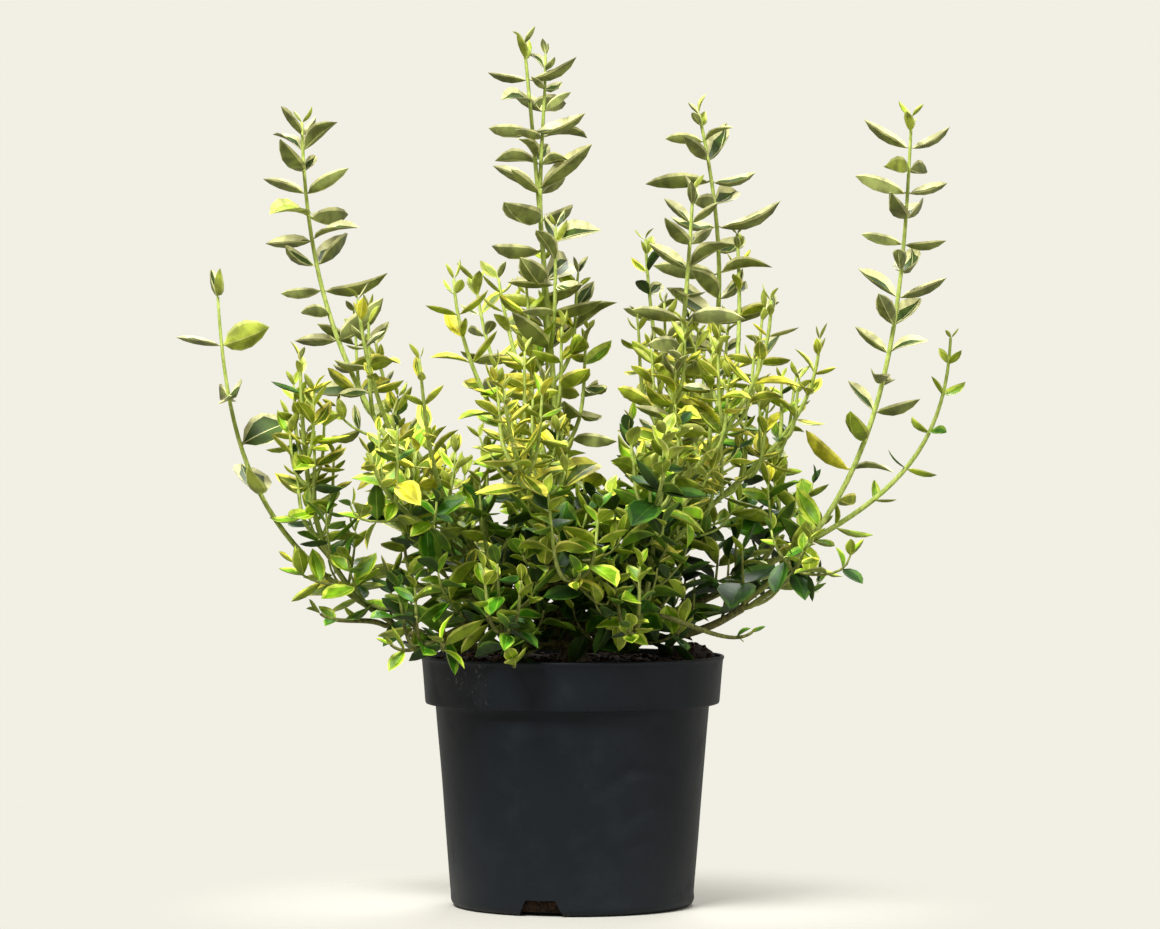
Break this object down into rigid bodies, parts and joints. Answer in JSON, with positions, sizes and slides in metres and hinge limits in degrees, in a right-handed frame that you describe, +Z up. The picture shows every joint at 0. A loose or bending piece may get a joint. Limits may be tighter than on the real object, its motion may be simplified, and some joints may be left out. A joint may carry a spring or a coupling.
{
  "type": "potted variegated euonymus shrub",
  "caption": "Small variegated evergreen shrub with upright leafy shoots, standing in a plain tapered nursery pot.",
  "frame": {"origin": "centre of the pot's flat underside", "axes": "+Z up; -Y is the front, the side that the picture shows; +X to the right of it"},
  "size_m": [0.4584, 0.3293, 0.4969],
  "materials": {
    "pot": "moulded black plastic, lightly scuffed",
    "soil": "damp peat and bark compost",
    "bark": "rough brown green bark",
    "foliage": "glossy green leaves edged with yellow"
  },
  "bodies": {
    "root": {"bough_back": "bark", "bough_back_left": "bark", "bough_back_right": "bark", "bough_centre": "bark", "bough_front": "bark", "bough_front_right": "bark", "bough_left_front": "bark", "bough_left_low": "bark", "bough_left_rising": "bark", "bough_low_front_left": "bark", "bough_low_front_right": "bark", "bough_right_arch": "bark", "bough_right_low": "bark", "bough_right_mid": "bark", "mass_back_centre": "foliage", "mass_back_high": "foliage", "mass_back_left_high": "foliage", "mass_back_left_low": "foliage", "mass_back_left_skirt": "foliage", "mass_back_low": "foliage", "mass_back_right_low": "foliage", "mass_back_skirt": "foliage", "mass_centre_left": "foliage", "mass_centre_tall": "foliage", "mass_front_centre": "foliage", "mass_front_left": "foliage", "mass_front_low_left": "foliage", "mass_front_low_right": "foliage", "mass_front_right_low": "foliage", "mass_front_right_tall": "foliage", "mass_front_rim_left": "foliage", "mass_front_rim_right": "foliage", "mass_front_skirt": "foliage", "mass_left_arching": "foliage", "mass_left_fan": "foliage", "mass_left_front": "foliage", "mass_left_inner": "foliage", "mass_left_low": "foliage", "mass_left_middle": "foliage", "mass_left_skirt": "foliage", "mass_left_tall": "foliage", "mass_right_arching": "foliage", "mass_right_back": "foliage", "mass_right_centre_tall": "foliage", "mass_right_front": "foliage", "mass_right_front_skirt": "foliage", "mass_right_inner": "foliage", "mass_right_low": "foliage", "mass_right_medium": "foliage", "mass_right_skirt": "foliage", "mass_right_tall": "foliage", "pot": "pot", "soil": "soil", "trunk": "bark"}
  },
  "joints": []
}
